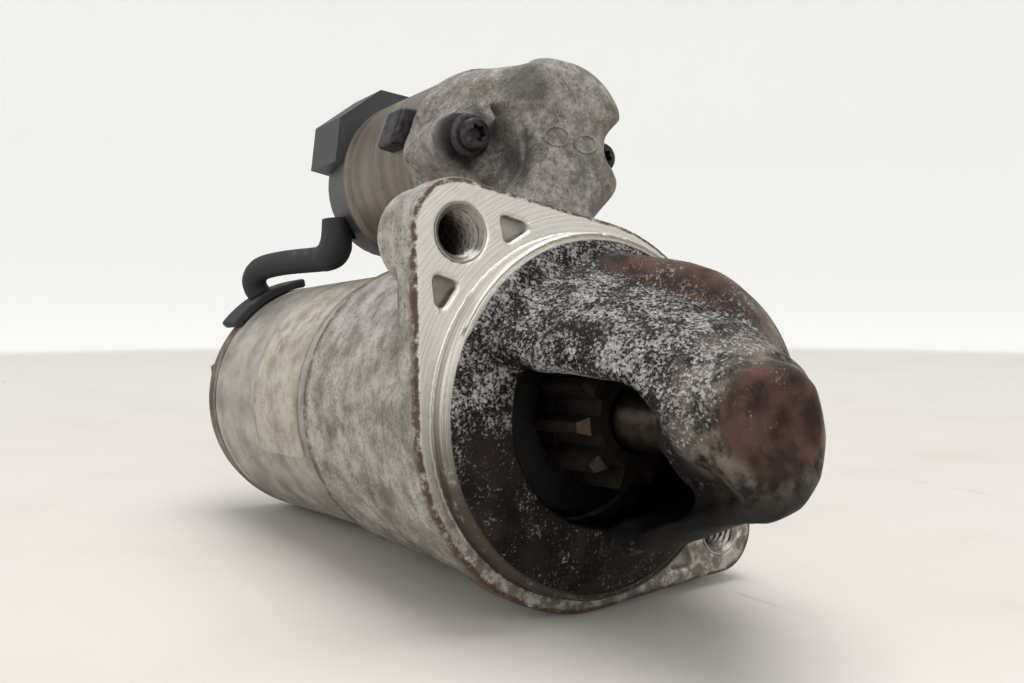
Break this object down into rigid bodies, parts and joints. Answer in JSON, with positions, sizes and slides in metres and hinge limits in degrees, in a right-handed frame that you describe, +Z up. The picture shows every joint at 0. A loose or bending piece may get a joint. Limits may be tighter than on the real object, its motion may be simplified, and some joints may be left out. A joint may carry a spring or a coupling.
{
  "type": "starter motor",
  "caption": "Planetary gear-reduction starter motor with a closed cast nose over its pinion, a two-eared mounting flange and a piggyback solenoid.",
  "frame": {"origin": "centre of the flange mounting face, on the shaft axis", "axes": "+X along the shaft towards the nose, +Z up, flange lower edge parallel to Y; the solenoid axis is leaned 12.5 degrees from +Z towards +Y"},
  "size_m": [0.209, 0.0871, 0.1302],
  "materials": {
    "cast_aluminium": "cast, corroded and dirty",
    "nose_bronze": "sintered bronze",
    "yoke_steel": "grey paint over rolled steel",
    "rear_cover_steel": "grey paint, stained",
    "plated_steel": "dull zinc plating",
    "label_paper": "aged label film",
    "rubber": "matt black",
    "case_steel": "dull, lightly rusted",
    "coil_plastic": "natural nylon",
    "copper": "copper",
    "brass": "bare",
    "spring_steel": "drawn wire",
    "black_plastic": "moulded, scuffed",
    "machined_steel": "machined",
    "lever_plastic": "glass-filled nylon",
    "rusted_steel": "rusted brown",
    "core_steel": "laminated sheet steel",
    "ferrite": "sintered ferrite",
    "carbon": "copper graphite"
  },
  "bodies": {
    "housing": {"solenoid_case": "case_steel", "solenoid_bolt_near": "plated_steel", "solenoid_bolt_far": "plated_steel", "coil_bobbin": "coil_plastic", "solenoid_coil": "copper", "fixed_core": "case_steel", "return_spring": "spring_steel", "contact_spring": "spring_steel", "solenoid_cap": "black_plastic", "control_terminal": "brass", "battery_stud": "copper", "battery_washer": "plated_steel", "battery_nut": "plated_steel", "motor_terminal": "copper", "lever_pin": "machined_steel", "drive_housing": "cast_aluminium", "nose_bush": "nose_bronze", "yoke": "yoke_steel", "rear_cover": "rear_cover_steel", "rear_bush": "nose_bronze", "through_bolt_upper": "plated_steel", "through_bolt_lower": "plated_steel", "yoke_label": "label_paper", "lead_grommet": "rubber", "motor_lead": "rubber", "lead_boot": "rubber", "ring_gear": "lever_plastic", "centre_plate": "machined_steel", "magnet_1": "ferrite", "magnet_2": "ferrite", "magnet_3": "ferrite", "magnet_4": "ferrite", "brush_plate": "machined_steel", "brush_1": "carbon", "brush_2": "carbon", "brush_3": "carbon", "brush_4": "carbon"},
    "armature": {"armature_shaft": "machined_steel", "armature_core": "core_steel", "armature_windings": "copper", "commutator": "copper"},
    "output_shaft": {"drive_shaft": "machined_steel", "stop_collar": "rusted_steel", "snap_ring": "spring_steel"},
    "drive": {"clutch_shell": "machined_steel", "operating_collar": "lever_plastic", "meshing_spring": "spring_steel", "clutch_roller_1": "machined_steel", "clutch_roller_2": "machined_steel", "clutch_roller_3": "machined_steel", "clutch_roller_4": "machined_steel", "clutch_roller_5": "machined_steel"},
    "pinion": {"pinion": "rusted_steel"},
    "plunger": {"plunger": "machined_steel"},
    "lever": {"shift_lever": "lever_plastic"},
    "contacts": {"contact_bridge": "copper", "contact_rod": "brass"},
    "planet_1": {"planet_gear_1": "machined_steel"},
    "planet_2": {"planet_gear_2": "machined_steel"},
    "planet_3": {"planet_gear_3": "machined_steel"}
  },
  "joints": [
    {"name": "armature_spin", "type": "hinge", "parent": "housing", "child": "armature", "pos_m": [0, 0, 0], "axis": [1, 0, 0], "continuous": true},
    {"name": "shaft_spin", "type": "hinge", "parent": "housing", "child": "output_shaft", "pos_m": [0, 0, 0], "axis": [1, 0, 0], "continuous": true},
    {"name": "planet_1_spin", "type": "hinge", "parent": "output_shaft", "child": "planet_1", "pos_m": [0, 0.015, 0], "axis": [1, 0, 0], "continuous": true},
    {"name": "planet_2_spin", "type": "hinge", "parent": "output_shaft", "child": "planet_2", "pos_m": [0, -0.0075, 0.01299], "axis": [1, 0, 0], "continuous": true},
    {"name": "planet_3_spin", "type": "hinge", "parent": "output_shaft", "child": "planet_3", "pos_m": [0, -0.0075, -0.01299], "axis": [1, 0, 0], "continuous": true},
    {"name": "plunger_slide", "type": "slide", "parent": "housing", "child": "plunger", "axis": [-1, 0, 0], "range_m": [0, 0.0102], "stiffness_N_per_m": 700, "springref_m": -0.02, "deforming": ["return_spring"]},
    {"name": "lever_hinge", "type": "hinge", "parent": "housing", "child": "lever", "pos_m": [-0.035, 0.0079, 0.03564], "axis": [0, -0.9763, 0.2164], "range_deg": [0, 22.7]},
    {"name": "drive_slide", "type": "slide", "parent": "output_shaft", "child": "drive", "axis": [1, 0, 0], "range_m": [0, 0.0143]},
    {"name": "contact_slide", "type": "slide", "parent": "housing", "child": "contacts", "axis": [-1, 0, 0], "range_m": [0, 0.0026], "deforming": ["contact_spring"]},
    {"name": "pinion_spin", "type": "hinge", "parent": "drive", "child": "pinion", "pos_m": [0, 0, 0], "axis": [1, 0, 0], "continuous": true}
  ],
  "couplings": [
    {"joint": "shaft_spin", "follows": "armature_spin", "ratio": 0.2},
    {"joint": "planet_1_spin", "follows": "armature_spin", "ratio": -0.53333},
    {"joint": "planet_2_spin", "follows": "armature_spin", "ratio": -0.53333},
    {"joint": "planet_3_spin", "follows": "armature_spin", "ratio": -0.53333},
    {"joint": "lever_hinge", "follows": "plunger_slide", "rad_per_m": 38.671},
    {"joint": "drive_slide", "follows": "plunger_slide", "ratio": 1.4},
    {"joint": "contact_slide", "follows": "plunger_slide", "ratio": 0.245}
  ]
}
